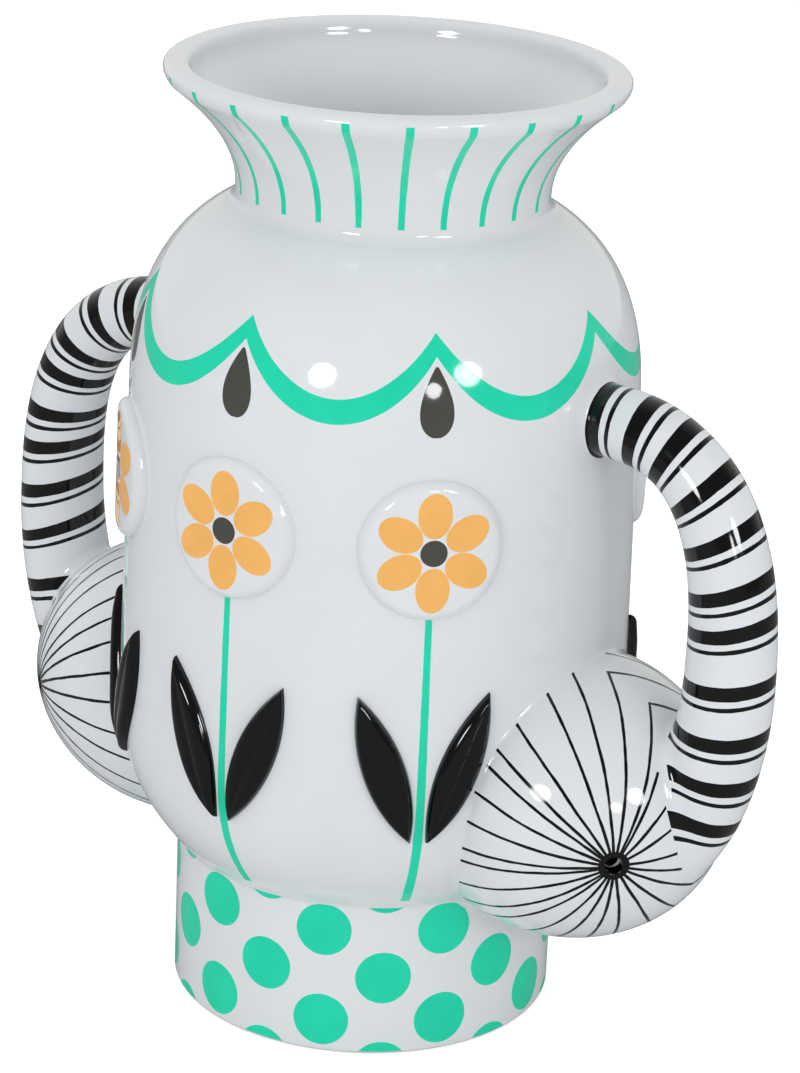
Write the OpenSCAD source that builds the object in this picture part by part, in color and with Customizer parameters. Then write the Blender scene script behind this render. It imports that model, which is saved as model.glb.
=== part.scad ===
// Two-handled table vase, cast in sections and luted together.
// Millimetres, +Z up, origin at the centre of the foot, front towards -Y, handles at +X and -X.

/* [Wall] */
// Wall thickness of the cast sections
wall = 7; // [5:0.5:8]
// Height of the spigots that register the sections on each other
spigot_h = 4; // [3:0.5:6]

/* [Foot] */
// Outer radius of the foot drum
foot_r = 93; // [88:0.5:98]
// Height of the foot drum
foot_h = 78; // [70:1:86]
// Width of the foot ring that the vase rests on
foot_ring_w = 12; // [10:0.5:16]
// Rounding of the foot's lower edges
foot_round = 2.5; // [1.5:0.5:4]
// Height of the floor's underside above the table
recess_h = 5; // [3:0.5:8]
// Thickness of the floor
floor_t = 7; // [5:0.5:10]
// Radius of the cove where the floor meets the wall
cove_r = 6; // [3:0.5:10]

/* [Body] */
// Outer radius where the belly curve ends
belly_r = 122.5; // [118:0.5:128]
// Height of the belly curve above the foot
belly_h = 72; // [64:1:80]
// How full the belly curve is, 2 for a parabola
belly_power = 2.35; // [2:0.05:3]
// Height of the nearly straight middle of the body
waist_h = 147.5; // [135:0.5:160]
// Outer radius where the shoulder curve starts
shoulder_r = 120.6; // [116:0.2:126]
// Height of the shoulder curve
shoulder_h = 98.5; // [90:0.5:106]
// How square the shoulder is, 2 for an ellipse
shoulder_power = 2.68; // [2.2:0.02:3]
// Height of the straight opening under the neck
neck_land = 8; // [7:0.5:10]

/* [Collar] */
// Outer radius at the throat
throat_r = 73.2; // [70:0.2:78]
// Height of the throat above the collar's seat
throat_rise = 6; // [4:0.5:8]
// Height of the flare, from the throat to the underside of the lip
flare_h = 48; // [42:1:54]
// Outer radius under the lip
flare_r = 103.5; // [100:0.5:105]
// Height of the lip
lip_h = 10; // [8:0.5:12]
// Outer radius of the lip
mouth_r = 107.6; // [106.6:0.2:110]
// Radius of the mouth inside the lip
mouth_in_r = 95; // [92:0.5:96]
// Rounding of the lip's outer edge
lip_round = 3.6; // [3:0.2:4]
// Rounding of the lip's inner edge
lip_in_round = 5; // [4:0.5:6]

/* [Handles] */
// Height of the upper root's centre above the start of the shoulder
root_rise = 18; // [14:0.5:22]
// Reach of the handle's centre line beyond the body
handle_reach = 73.7; // [68:0.5:80]
// Height of the upper bend, from the widest point to the root
handle_rise = 105.5; // [98:0.5:112]
// How square the upper bend is, 2 for an ellipse
handle_power = 2.55; // [2.2:0.05:2.8]
// Depth of the lower end's centre line below the bulb's centre
handle_tuck = 37.8; // [32:0.5:42]
// Radius of the tube at the upper root
handle_r = 16.8; // [15:0.2:18]
// Radius of the tube where it meets the bulb
handle_end_r = 23.2; // [20:0.2:25]
// Wall of the hollow handle
handle_wall = 5; // [4:0.5:6]
// Widening of the root where it is luted to the body
root_flare = 6; // [2:0.5:8]
// Length of that widening
root_flare_len = 7; // [5:0.5:12]

/* [Bulbs] */
// Half length of the bulb along X
bulb_a = 81.3; // [76:0.5:86]
// Radius of the bulb across X
bulb_b = 69.9; // [66:0.5:72]
// Height of the bulb's centre above the foot drum
bulb_rise = 51.8; // [49:0.2:55]
// Depth of the bulb's centre inside the belly's radius
bulb_sink = 11.7; // [8:0.2:15]
// Azimuth that the vent hole faces, from the front
vent_az = 41; // [34:1:48]
// Downward tilt of the vent hole
vent_tilt = 5; // [0:1:10]
// Radius of the vent hole
vent_r = 4; // [2.5:0.5:5]

/* [Reliefs] */
// Height of the raised reliefs
relief_h = 5; // [3:0.5:6]
// Inset of each relief's crown from its edge
relief_inset = 1.8; // [1:0.2:2.4]
// Angle between neighbouring flower bosses
boss_step = 45; // [43:1:46]
// Radius of a flower boss
boss_r = 33; // [28:0.5:36]
// Depth of the bosses' centres below the start of the shoulder
boss_drop = 29.5; // [25:0.5:36]
// Length of a leaf
leaf_len = 78; // [70:1:84]
// Width of a leaf
leaf_w = 20; // [16:0.5:22]
// Lean of a leaf away from its stem
leaf_lean = 20; // [16:1:24]
// Gap between a leaf's root and the middle of its stem
leaf_gap = 4; // [3:0.5:6]
// Height of the leaves' roots above the foot drum
leaf_rise = 46; // [42:1:52]

/* [Hidden] */

$fn = 96;

// Glaze colours
white_glaze = [0.89, 0.91, 0.93];
black_glaze = [0.07, 0.065, 0.06];

// Steps along the curves of the profiles
belly_steps = 12;
shoulder_steps = 18;
flare_steps = 14;
arc_steps = 8;
bulb_steps = 40;

// Heights of the sections' joints
belly_z = foot_h + belly_h;
shoulder_z = belly_z + waist_h;
neck_z = shoulder_z + shoulder_h;
throat_z = neck_z + throat_rise;
lip_z = throat_z + flare_h;
rim_z = lip_z + lip_h;

// Radii at the joints: the inside, and the spigot that is half the wall
foot_in_r = foot_r - wall;
foot_spigot_r = foot_r - wall / 2;
neck_r = throat_r + (flare_r - throat_r) * pow(throat_rise / flare_h, 2);
neck_in_r = neck_r - wall;
neck_spigot_r = neck_r - wall / 2;

// Lean of the mouth's inner edge from the vertical
lip_lean = 43;
// Start of the lip's outer rounding, below the horizontal
lip_under = 45;

// Shares of the handle's path: u runs from 0 at the root, past 1 at the widest point
swell_start_share = 0.3;
swell_end_share = 1.4;
path_end_share = 1.6;
// Rings along each stretch of the handle, and sides round the tube
root_rings = 4;
path_rings = 28;
tube_sides = 24;
// Crowding of the rings towards the root, 1 for none
ring_crowding = 1.5;

// Places of the bulbs and of the handles' roots
bulb_x = belly_r - bulb_sink;
bulb_z = foot_h + bulb_rise;
root_z = shoulder_z + root_rise;
widest_z = root_z - handle_rise;
handle_drop = widest_z - bulb_z + handle_tuck;
// Overrun of cutting shapes
overrun = 1;

// Points on an arc about [r, z], from angle a to angle b
function arc(centre, radius, a, b) =
    [for (i = [0 : arc_steps]) let (t = a + (b - a) * i / arc_steps)
        centre + radius * [cos(t), sin(t)]];

// Belly curve from radius r0 at height z0 to radius r1 at height z1
function belly(r0, r1, z0, z1) =
    [for (i = [0 : belly_steps]) let (s = i / belly_steps)
        [r1 - (r1 - r0) * pow(1 - s, belly_power), z0 + (z1 - z0) * s]];

// Shoulder curve from radius r0 at height z0 to radius r1 at height z1
function shoulder(r0, r1, z0, z1) =
    let (reach = pow(1 - pow(r1 / r0, shoulder_power), 1 / shoulder_power))
    [for (i = [0 : shoulder_steps]) let (s = sin(90 * i / shoulder_steps), t = reach * s)
        [r0 * pow(1 - pow(t, shoulder_power), 1 / shoulder_power), z0 + (z1 - z0) * s]];

// Flare of the collar from radius r0 at the throat to radius r1 at height z1
function flare(r0, r1, z1) =
    [for (i = [0 : flare_steps]) let (z = neck_z + (z1 - neck_z) * i / flare_steps)
        [r0 + (r1 - r0) * pow((z - throat_z) / (z1 - throat_z), 2), z]];

function backwards(points) = [for (i = [len(points) - 1 : -1 : 0]) points[i]];

// Outside of the belly and shoulder, grown by extra
function body_outside(extra = 0) = concat(
    belly(foot_r + extra, belly_r + extra, foot_h, belly_z),
    shoulder(shoulder_r + extra, neck_r + extra, shoulder_z, neck_z)
);

body_inside = concat(
    belly(foot_in_r, belly_r - wall, foot_h + spigot_h, belly_z),
    shoulder(shoulder_r - wall, neck_in_r, shoulder_z, neck_z - neck_land)
);

// Everything inside the outer surface of foot and body, to seat the luted pieces on
module outer_solid() {
    rotate_extrude()
        polygon(concat([[0, 0], [foot_r, 0]], body_outside(), [[0, neck_z]]));
}

module foot_drum() {
    ring_in_r = foot_r - foot_ring_w;
    color(white_glaze) rotate_extrude() polygon(concat(
        arc([ring_in_r + foot_round, foot_round], foot_round, 180, 270),
        arc([foot_r - foot_round, foot_round], foot_round, 270, 360),
        [
            [foot_r, foot_h], [foot_spigot_r, foot_h],
            [foot_spigot_r, foot_h + spigot_h], [foot_in_r, foot_h + spigot_h],
            [foot_in_r, recess_h], [ring_in_r, recess_h]
        ]
    ));
}

module base_floor() {
    floor_z = recess_h + floor_t;
    color(white_glaze) rotate_extrude() polygon(concat(
        [[0, recess_h], [foot_in_r, recess_h]],
        arc([foot_in_r - cove_r, floor_z + cove_r], cove_r, 0, -90),
        [[0, floor_z]]
    ));
}

module body_shell() {
    color(white_glaze) rotate_extrude() polygon(concat(
        [[foot_spigot_r, foot_h]],
        body_outside(),
        [
            [neck_spigot_r, neck_z], [neck_spigot_r, neck_z - spigot_h],
            [neck_in_r, neck_z - spigot_h]
        ],
        backwards(body_inside),
        [[foot_spigot_r, foot_h + spigot_h]]
    ));
}

module neck_collar() {
    inner_centre = [mouth_in_r + lip_in_round * sin(lip_lean), rim_z - lip_in_round];
    inner_edge_z = rim_z - lip_in_round + lip_in_round * cos(lip_lean);
    color(white_glaze) rotate_extrude() polygon(concat(
        [[neck_spigot_r, neck_z]],
        flare(throat_r, flare_r, lip_z),
        arc([mouth_r - lip_round, rim_z - lip_round], lip_round, -lip_under, 90),
        arc(inner_centre, lip_in_round, 90, 90 + lip_lean),
        backwards(flare(throat_r - wall, mouth_in_r, inner_edge_z)),
        [[neck_in_r, neck_z - spigot_h], [neck_spigot_r, neck_z - spigot_h]]
    ));
}

// Centre line of the right handle in the XZ plane
function path(u) = u <= 1
    ? [
        shoulder_r + handle_reach * pow(sin(90 * u), 2 / handle_power),
        widest_z + handle_rise * pow(cos(90 * u), 2 / handle_power)
    ]
    : [
        shoulder_r + handle_reach * cos(90 * (u - 1)),
        widest_z - handle_drop * sin(90 * (u - 1))
    ];

function swell(u) =
    let (s = (u - swell_start_share) / (swell_end_share - swell_start_share))
    handle_r + (handle_end_r - handle_r) * min(max(s, 0), 1);

// Widening near the body, for a ring at distance x outside the shoulder's radius
function root_widening(x) = root_flare * pow(max(1 - max(x, 0) / root_flare_len, 0), 2);

// Rings as [x, z, slope, radius], straight inside the body and then along the path
function handle_rings() = concat(
    [for (i = [0 : root_rings - 1])
        [shoulder_r - root_flare_len * (1 - i / root_rings), root_z, 0, handle_r + root_flare]],
    [for (i = [0 : path_rings])
        let (
            u = path_end_share * pow(i / path_rings, ring_crowding),
            step = 1 / path_rings,
            ahead = path(u + step),
            behind = path(max(u - step / 2, 0)),
            slope = i == 0 ? 0 : atan2(ahead[1] - behind[1], ahead[0] - behind[0]),
            at = path(u)
        )
        [at[0], at[1], slope, swell(u) + root_widening(at[0] - shoulder_r)]]
);

// Tube round the handle's path, thinner than its surface by inset
module handle_tube(inset) {
    rings = handle_rings();
    last = len(rings) - 1;
    points = [for (r = rings, k = [0 : tube_sides - 1])
        let (t = 360 * k / tube_sides, across = (r[3] - inset) * cos(t))
        [r[0] - across * sin(r[2]), (r[3] - inset) * sin(t), r[1] + across * cos(r[2])]];
    sides = [for (i = [0 : last - 1], k = [0 : tube_sides - 1], half = [0, 1])
        let (next = (k + 1) % tube_sides, a = i * tube_sides, b = a + tube_sides)
        half == 0 ? [a + k, b + next, b + k] : [a + k, a + next, b + next]];
    first_cap = [for (k = [1 : tube_sides - 2]) [0, k + 1, k]];
    end = last * tube_sides;
    last_cap = [for (k = [1 : tube_sides - 2]) [end, end + k, end + k + 1]];
    polyhedron(points, concat(first_cap, last_cap, sides));
}

module bulb_solid(inset) {
    translate([bulb_x, 0, bulb_z])
        rotate([0, 90, 0])
            rotate_extrude()
                polygon([for (i = [0 : bulb_steps]) let (t = -90 + 180 * i / bulb_steps)
                    [(bulb_b - inset) * cos(t), (bulb_a - inset) * sin(t)]]);
}

module handle() {
    color(white_glaze) difference() {
        handle_tube(0);
        handle_tube(handle_wall);
        outer_solid();
        bulb_solid(0);
    }
}

// Hole through the bulb's wall, square to its surface
module vent() {
    facing = [
        sin(vent_az) * cos(vent_tilt), -cos(vent_az) * cos(vent_tilt), -sin(vent_tilt)
    ];
    stretched = [bulb_a * facing[0], bulb_b * facing[1], bulb_b * facing[2]];
    surface = [
        bulb_a * stretched[0], bulb_b * stretched[1], bulb_b * stretched[2]
    ] / norm(stretched);
    translate([bulb_x, 0, bulb_z] + surface - 2 * wall * facing)
        rotate([90 + vent_tilt, 0, vent_az])
            cylinder(h = 3 * wall, r = vent_r);
}

module bulb() {
    color(white_glaze) difference() {
        bulb_solid(0);
        bulb_solid(wall);
        outer_solid();
        vent();
    }
}

// Skin of the given height over the outside of the body
module skin(height) {
    rotate_extrude()
        polygon(concat(body_outside(height), backwards(body_outside())));
}

// The part of a skin behind an outline drawn at an azimuth and a height
module luted(az, z, height) {
    intersection() {
        skin(height);
        rotate([0, 0, az])
            translate([0, 0, z])
                rotate([90, 0, 0])
                    linear_extrude(height = max(belly_r, shoulder_r) + relief_h + overrun)
                        children();
    }
}

module boss(az) {
    color(white_glaze) union() {
        luted(az, shoulder_z - boss_drop, relief_h / 2) circle(r = boss_r);
        luted(az, shoulder_z - boss_drop, relief_h) circle(r = boss_r - relief_inset);
    }
}

// Pointed oval, where two circles cross
module leaf_outline(inset) {
    radius = (pow(leaf_len, 2) + pow(leaf_w, 2)) / (4 * leaf_w);
    intersection_for(side = [-1, 1])
        translate([side * (radius - leaf_w / 2), 0])
            circle(r = radius - inset);
}

// Leaves 1 and 2 stand on the first stem, 3 and 4 on the second, 5 and 6 on the third
module leaf(number, centre_az) {
    stem = floor((number - 1) / 2) - 1;
    side = number % 2 == 1 ? -1 : 1;
    sideways = leaf_gap + leaf_len / 2 * sin(leaf_lean);
    az = centre_az + stem * boss_step + side * asin(sideways / belly_r);
    z = foot_h + leaf_rise + leaf_len / 2 * cos(leaf_lean);
    color(black_glaze) union() {
        luted(az, z, relief_h / 2) rotate(-side * leaf_lean) leaf_outline(0);
        luted(az, z, relief_h) rotate(-side * leaf_lean) leaf_outline(relief_inset);
    }
}

foot_drum();
base_floor();
body_shell();
neck_collar();
handle();  // right_handle
mirror([1, 0, 0]) handle();  // left_handle
bulb();  // right_bulb
mirror([1, 0, 0]) bulb();  // left_bulb
boss(-boss_step);  // front_boss_left
boss(0);  // front_boss_centre
boss(boss_step);  // front_boss_right
boss(180 - boss_step);  // rear_boss_left
boss(180);  // rear_boss_centre
boss(180 + boss_step);  // rear_boss_right
leaf(1, 0);  // front_leaf_1
leaf(2, 0);  // front_leaf_2
leaf(3, 0);  // front_leaf_3
leaf(4, 0);  // front_leaf_4
leaf(5, 0);  // front_leaf_5
leaf(6, 0);  // front_leaf_6
leaf(1, 180);  // rear_leaf_1
leaf(2, 180);  // rear_leaf_2
leaf(3, 180);  // rear_leaf_3
leaf(4, 180);  // rear_leaf_4
leaf(5, 180);  // rear_leaf_5
leaf(6, 180);  // rear_leaf_6
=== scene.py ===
"""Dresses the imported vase: smooth glazed forms with painted decoration, set on a pale studio floor."""

import math
from functools import cached_property, partialmethod

import bmesh
import bpy
import numpy as np
from mathutils import Matrix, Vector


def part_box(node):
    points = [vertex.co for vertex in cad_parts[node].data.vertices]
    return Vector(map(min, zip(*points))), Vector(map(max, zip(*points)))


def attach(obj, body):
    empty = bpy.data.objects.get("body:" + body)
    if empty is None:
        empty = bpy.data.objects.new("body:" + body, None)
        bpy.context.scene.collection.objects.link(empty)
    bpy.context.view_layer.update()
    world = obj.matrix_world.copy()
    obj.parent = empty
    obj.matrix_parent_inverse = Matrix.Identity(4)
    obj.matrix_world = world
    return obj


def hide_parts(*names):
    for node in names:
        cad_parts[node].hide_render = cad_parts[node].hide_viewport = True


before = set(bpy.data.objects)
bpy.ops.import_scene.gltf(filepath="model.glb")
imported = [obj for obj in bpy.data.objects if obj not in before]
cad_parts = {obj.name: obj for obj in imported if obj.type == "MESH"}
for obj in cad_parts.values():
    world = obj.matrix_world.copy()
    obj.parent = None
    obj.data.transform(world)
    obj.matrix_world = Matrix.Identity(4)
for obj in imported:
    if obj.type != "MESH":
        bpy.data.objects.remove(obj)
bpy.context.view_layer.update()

MM = 0.001
scene = bpy.context.scene

# ---- camera and studio

CAMERA_AT = (0.8857, -1.3348, 0.8241)
CAMERA_AZ, CAMERA_EL, CAMERA_ROLL = 33.2, 20.353, 2.556
FOCAL_PX, FRAME_H = 3565.6, 1073
SENSOR_H = 36.0

# Azimuth and elevation in degrees, width in m and power in W of each round lamp
LAMPS = {"left": (6.0, 14.9, 0.43, 10), "right": (70.3, 17.0, 0.43, 10), "small": (54.4, 10.5, 0.24, 3)}
LAMP_COLOUR = (0.97, 0.985, 1.0)
LAMP_DISTANCE, GLINT_DISTANCE = 2.1, 2.09
LAMP_TARGET = np.array([0, 0, 0.25])
# Share of a lamp's power that shows in the glaze alone
GLINT_SHARE = 0.65


def direction(az, el):
    """Unit vector towards an azimuth (from the front, -Y, towards +X) and an elevation, in degrees."""
    a, e = math.radians(az), math.radians(el)
    return np.array([math.cos(e) * math.sin(a), -math.cos(e) * math.cos(a), math.sin(e)])


def aimed(az, el, at, roll=0.0):
    """Matrix of an object at a point that looks from an azimuth and elevation at the vase."""
    back, right = direction(az, el), direction(az + 90, 0)
    up = np.cross(back, right)
    c, s = math.cos(math.radians(roll)), math.sin(math.radians(roll))
    axes = np.stack([c * right + s * up, c * up - s * right, back], 1)
    return Matrix([[*row, p] for row, p in zip(axes.tolist(), at)] + [[0, 0, 0, 1]])


def bring_in(name, data):
    """A new object in the scene."""
    thing = bpy.data.objects.new(name, data)
    scene.collection.objects.link(thing)
    return thing


def add_camera():
    """The photograph's camera, as solved from the vase's outlines."""
    data = bpy.data.cameras.new("camera")
    data.sensor_fit = "VERTICAL"
    data.sensor_height = SENSOR_H
    data.lens = FOCAL_PX / FRAME_H * SENSOR_H
    data.clip_end = 50
    scene.camera = bring_in("camera", data)
    scene.camera.matrix_world = aimed(CAMERA_AZ, CAMERA_EL, CAMERA_AT, CAMERA_ROLL)


def add_lamp(name, az, el, distance, size, power, glossy_only=False):
    """Round studio lamp that faces the middle of the vase. It may show in the glaze alone."""
    data = bpy.data.lights.new(name, "AREA")
    data.shape = "DISK"
    data.size = size
    data.energy = power
    data.color = LAMP_COLOUR
    lamp = bring_in(name, data)
    lamp.visible_diffuse = not glossy_only
    lamp.matrix_world = aimed(az, el, LAMP_TARGET + distance * direction(az, el))


# ---- shader helpers


class Nodes:
    """Writes the nodes of a material or world as function calls."""

    def __init__(self, thing):
        thing.use_nodes = True
        self.tree = thing.node_tree
        self.tree.nodes.clear()

    def new(self, kind, feeds=None, **props):
        """A node with its properties set and its sockets fed, by name or by number."""
        node = self.tree.nodes.new(kind)
        for key, value in props.items():
            setattr(node, key, value)
        for key, value in (feeds or {}).items():
            if isinstance(value, bpy.types.NodeSocket):
                self.tree.links.new(value, node.inputs[key])
            else:
                node.inputs[key].default_value = value
        return node

    def math(self, op, *values, clamp=False):
        node = self.new("ShaderNodeMath", dict(enumerate(values)), operation=op, use_clamp=clamp)
        return node.outputs[0]

    add = partialmethod(math, "ADD")
    sub = partialmethod(math, "SUBTRACT")
    mul = partialmethod(math, "MULTIPLY")
    low = partialmethod(math, "MINIMUM")
    high = partialmethod(math, "MAXIMUM")
    size = partialmethod(math, "ABSOLUTE")

    def square(self, a):
        return self.mul(a, a)

    def hypot(self, a, b):
        return self.math("SQRT", self.add(self.square(a), self.square(b)))

    def beyond(self, value, low, high):
        """Signed distance of a value outside the span from low to high."""
        return self.high(self.sub(low, value), self.sub(value, high))

    def inside(self, distance, soft=0.16):
        """1 where a signed distance in mm is negative, with an edge soft mm wide."""
        return self.ramp(distance, soft / 2, -soft / 2)

    def ramp(self, value, low, high, to_low=0.0, to_high=1.0, kind="SMOOTHSTEP"):
        """Maps the span low to high to another one, and holds its ends beyond."""
        feeds = {"Value": value, "From Min": low, "From Max": high, "To Min": to_low, "To Max": to_high}
        return self.new("ShaderNodeMapRange", feeds, interpolation_type=kind).outputs["Result"]

    def attribute(self, name):
        """A number kept in the mesh."""
        return self.new("ShaderNodeAttribute", attribute_name=name).outputs["Fac"]

    @cached_property
    def place(self):
        """Object coordinates, in metres in the row's frame."""
        return self.new("ShaderNodeTexCoord").outputs["Object"]

    @cached_property
    def xyz(self):
        """Object coordinates, in mm."""
        node = self.new("ShaderNodeSeparateXYZ", {0: self.place})
        return [self.mul(o, 1 / MM) for o in node.outputs]

    def dot(self, a, b):
        """Dot product of a vector socket with a fixed vector."""
        feeds = {0: a, 1: [float(c) for c in b]}
        return self.new("ShaderNodeVectorMath", feeds, operation="DOT_PRODUCT").outputs["Value"]

    def angle(self, y, x):
        """Degrees of the direction (x, y)."""
        return self.mul(self.math("ARCTAN2", y, x), 180 / math.pi)

    def zones(self, value, stops):
        """Two numbers that hold from each stop to the next one. Stops are (value, number, number)."""
        node = self.new("ShaderNodeValToRGB", {0: value})
        node.color_ramp.interpolation = "CONSTANT"
        marks = node.color_ramp.elements
        for stop in stops[2:]:
            marks.new(stop[0])
        for mark, (at, one, two) in zip(marks, stops):
            mark.position = at
            mark.color = (one, two, 0, 1)
        return self.new("ShaderNodeSeparateColor", {0: node.outputs["Color"]}).outputs[:2]

    @cached_property
    def azimuth(self):
        """Degrees round the vase from its front, towards +X."""
        x, y, _ = self.xyz
        return self.angle(x, self.mul(y, -1))

    @cached_property
    def radius(self):
        """Distance in mm from the vase's axis."""
        return self.hypot(*self.xyz[:2])

    def repeat(self, value, step, start=0.0):
        """Offset of a value from the nearest of the marks at start + n * step."""
        offset = self.sub(value, start)
        return self.sub(offset, self.mul(self.math("ROUND", self.mul(offset, 1 / step)), step))

    def arc(self, degrees):
        """Length in mm of an angle at the point's own radius."""
        return self.mul(self.mul(degrees, math.pi / 180), self.radius)

    def noise(self, scale, detail=2.0, rough=0.5):
        feeds = {"Vector": self.place, "Scale": scale, "Detail": detail, "Roughness": rough}
        return self.new("ShaderNodeTexNoise", feeds).outputs["Fac"]

    def wobble(self, scale, detail, size):
        """A noise about zero, for the edges of hand-laid paint."""
        return self.mul(self.sub(self.noise(scale, detail), 0.5), size)

    def spread(self, noise, low=0.0, high=1.0):
        """The middle of a noise, spread over a span."""
        return self.ramp(noise, 0.3, 0.7, low, high)

    def drifting(self, noise, tone, dark):
        """A tone that a noise darkens in places."""
        return self.mix(self.spread(noise), tuple(c * dark for c in tone[:3]) + (1,), tone)

    def blend(self, factor, a, b, kind="FLOAT"):
        """Goes from a to b as the factor goes from 0 to 1."""
        feeds = {"Factor": factor, "A": a, "B": b}
        return self.new("ShaderNodeMix", feeds, data_type=kind).outputs["Result"]

    def mix(self, factor, a, b):
        """The same for colours."""
        return self.blend(factor, a, b, "RGBA")

    def rays(self):
        """1 for rays from the camera, and 1 for those that the glaze mirrors."""
        seen = self.new("ShaderNodeLightPath")
        mirrored = self.high(seen.outputs["Is Glossy Ray"], seen.outputs["Is Transmission Ray"])
        return seen.outputs["Is Camera Ray"], mirrored


def srgb(*levels):
    """Linear colour from sRGB numbers up to 255."""
    parts = [level / 255 for level in levels]
    return (*(c / 12.92 if c <= 0.04045 else ((c + 0.055) / 1.055) ** 2.4 for c in parts), 1.0)


# Colours of glaze, paints, bare clay and pinholes
WHITE = srgb(223, 226, 228)
GREEN = srgb(33, 216, 174)
ORANGE = srgb(246, 184, 102)
BLACK = srgb(7, 7, 6)
METAL = srgb(74, 73, 66)
CLAY = srgb(214, 205, 190)
PINHOLE = srgb(120, 112, 100)
GLAZE_IOR = 1.5
# How dark each tone drifts, as a share of itself
WHITE_DARK, PAINT_DARK, CLAY_DARK = 0.965, 0.93, 0.8
GLAZE_ROUGH, PAINT_ROUGH, CLAY_ROUGH = (0.045, 0.085), (0.06, 0.11), 0.85
# Relief in mm of the glaze, its fine ripple, pinholes, paint and the clay's grain
PEEL_H, RIPPLE_H, PINHOLE_H, PAINT_H, GRAIN_H = 0.22, 0.018, 0.08, 0.03, 0.15
# Cells a metre, and radius in mm of the pinhole in each
PINHOLE_CELLS, PINHOLE_R = 34, 0.22


def glaze(name, paint=lambda n: [], bare=None):
    """Glossy glaze over cast white clay.

    paint(n) gives [(mask, colour), ...] and bare(n) a mask of unglazed clay.
    """
    material = bpy.data.materials.new(name)
    n = Nodes(material)

    # The white drifts a little in tone, and the fired glaze has a few pinholes
    colour = n.drifting(n.noise(14, 3), WHITE, WHITE_DARK)
    cells = n.new("ShaderNodeTexVoronoi", {"Vector": n.place, "Scale": PINHOLE_CELLS})
    off_centre = n.mul(cells.outputs["Distance"], 1 / MM / PINHOLE_CELLS)
    few = n.math("GREATER_THAN", n.noise(20, 0), 0.6)
    pin = n.mul(n.inside(n.sub(off_centre, PINHOLE_R), 0.2), few)
    colour = n.mix(n.mul(pin, 0.45), colour, PINHOLE)

    # Paint lies on it, a little rougher than the bare glaze
    ink = 0.0
    for mask, tone in paint(n):
        colour = n.mix(mask, colour, n.drifting(n.noise(45, 4, 0.6), tone, PAINT_DARK))
        ink = n.high(ink, mask)
    rough = n.blend(ink, n.spread(n.noise(60, 3), *GLAZE_ROUGH), n.spread(n.noise(90, 4), *PAINT_ROUGH))
    peel = n.add(n.mul(n.noise(24, 2), PEEL_H), n.mul(n.noise(240, 2), RIPPLE_H))
    height = n.add(n.sub(peel, n.mul(pin, PINHOLE_H)), n.mul(ink, PAINT_H))
    if bare:
        clay = bare(n)
        grain = n.noise(1400, 4, 0.7)
        colour = n.mix(clay, colour, n.drifting(grain, CLAY, CLAY_DARK))
        rough = n.blend(clay, rough, CLAY_ROUGH)
        height = n.add(height, n.mul(clay, n.mul(grain, GRAIN_H)))
    bump = n.new("ShaderNodeBump", {"Strength": 1.0, "Distance": MM, "Height": height})
    feeds = {"Base Color": colour, "Roughness": rough, "IOR": GLAZE_IOR, "Normal": bump.outputs[0]}
    shader = n.new("ShaderNodeBsdfPrincipled", feeds)
    n.new("ShaderNodeOutputMaterial", {"Surface": shader.outputs[0]})
    return material


# ---- sizes, in mm, from the model's parts


def box_mm(node):
    """Lower and upper corner of a node's box."""
    return [np.array(corner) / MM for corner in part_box(node)]


# Foot, floor and walls
FOOT_R = box_mm("foot_drum")[1][0]
(_, _, FOOT_H), (BODY_R, _, NECK_Z) = box_mm("body_shell")
(_, _, SPIGOT_Z), (MOUTH_R, _, RIM_Z) = box_mm("neck_collar")
(_, _, RECESS_H), (_, _, COVE_Z) = box_mm("base_floor")
WALL, FLOOR_T = 7.0, 7.0
SPIGOT_H = NECK_Z - SPIGOT_Z
COVE_R = COVE_Z - RECESS_H - FLOOR_T
FOOT_RING_W, FOOT_ROUND = 12.0, 2.5

# Belly and shoulder, each a quarter of a superellipse
BELLY_H, BELLY_POWER = 72.0, 2.35
BELLY_Z = FOOT_H + BELLY_H
SHOULDER_R, SHOULDER_POWER = 120.6, 2.68
SHOULDER_Z = 297.5
SHOULDER_H = NECK_Z - SHOULDER_Z

# Throat, flare and lip of the collar
THROAT_R, THROAT_H = 73.2, 6.0
THROAT_Z = NECK_Z + THROAT_H
FLARE_R, FLARE_H = 103.5, 48.0
LIP_Z = THROAT_Z + FLARE_H
MOUTH_IN_R = 95.0
NECK_R = THROAT_R + (FLARE_R - THROAT_R) * (THROAT_H / FLARE_H) ** 2
NECK_IN_R, NECK_MID_R = NECK_R - WALL, NECK_R - WALL / 2
NECK_LAND = 8.0

# Bulbs and reliefs
BULB_A, BULB_B = 81.3, 69.9
BULB_AXES = np.array([BULB_A, BULB_B, BULB_B])
BULB_AT = np.array([110.8, 0.0, 129.8])
VENT_R = 4.0
RELIEF_H = 5.0
# How deep hidden edges, and the undersides of reliefs, lie in the body
SUNK, BASE_SUNK = 2.5, 2.0
BOSS_R, BOSS_Z = 33.0, 268.0
LEAF_LEN, LEAF_W, LEAF_LEAN = 78.0, 20.0, 20.0


def superellipse(t, power):
    """Height of a unit superellipse at distance t from its middle."""
    return np.maximum(1 - np.maximum(t, 0) ** power, 0) ** (1 / power)


# How far round its quarter the shoulder runs before the neck cuts it off
SHOULDER_REACH = superellipse(NECK_R / SHOULDER_R, SHOULDER_POWER)


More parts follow.
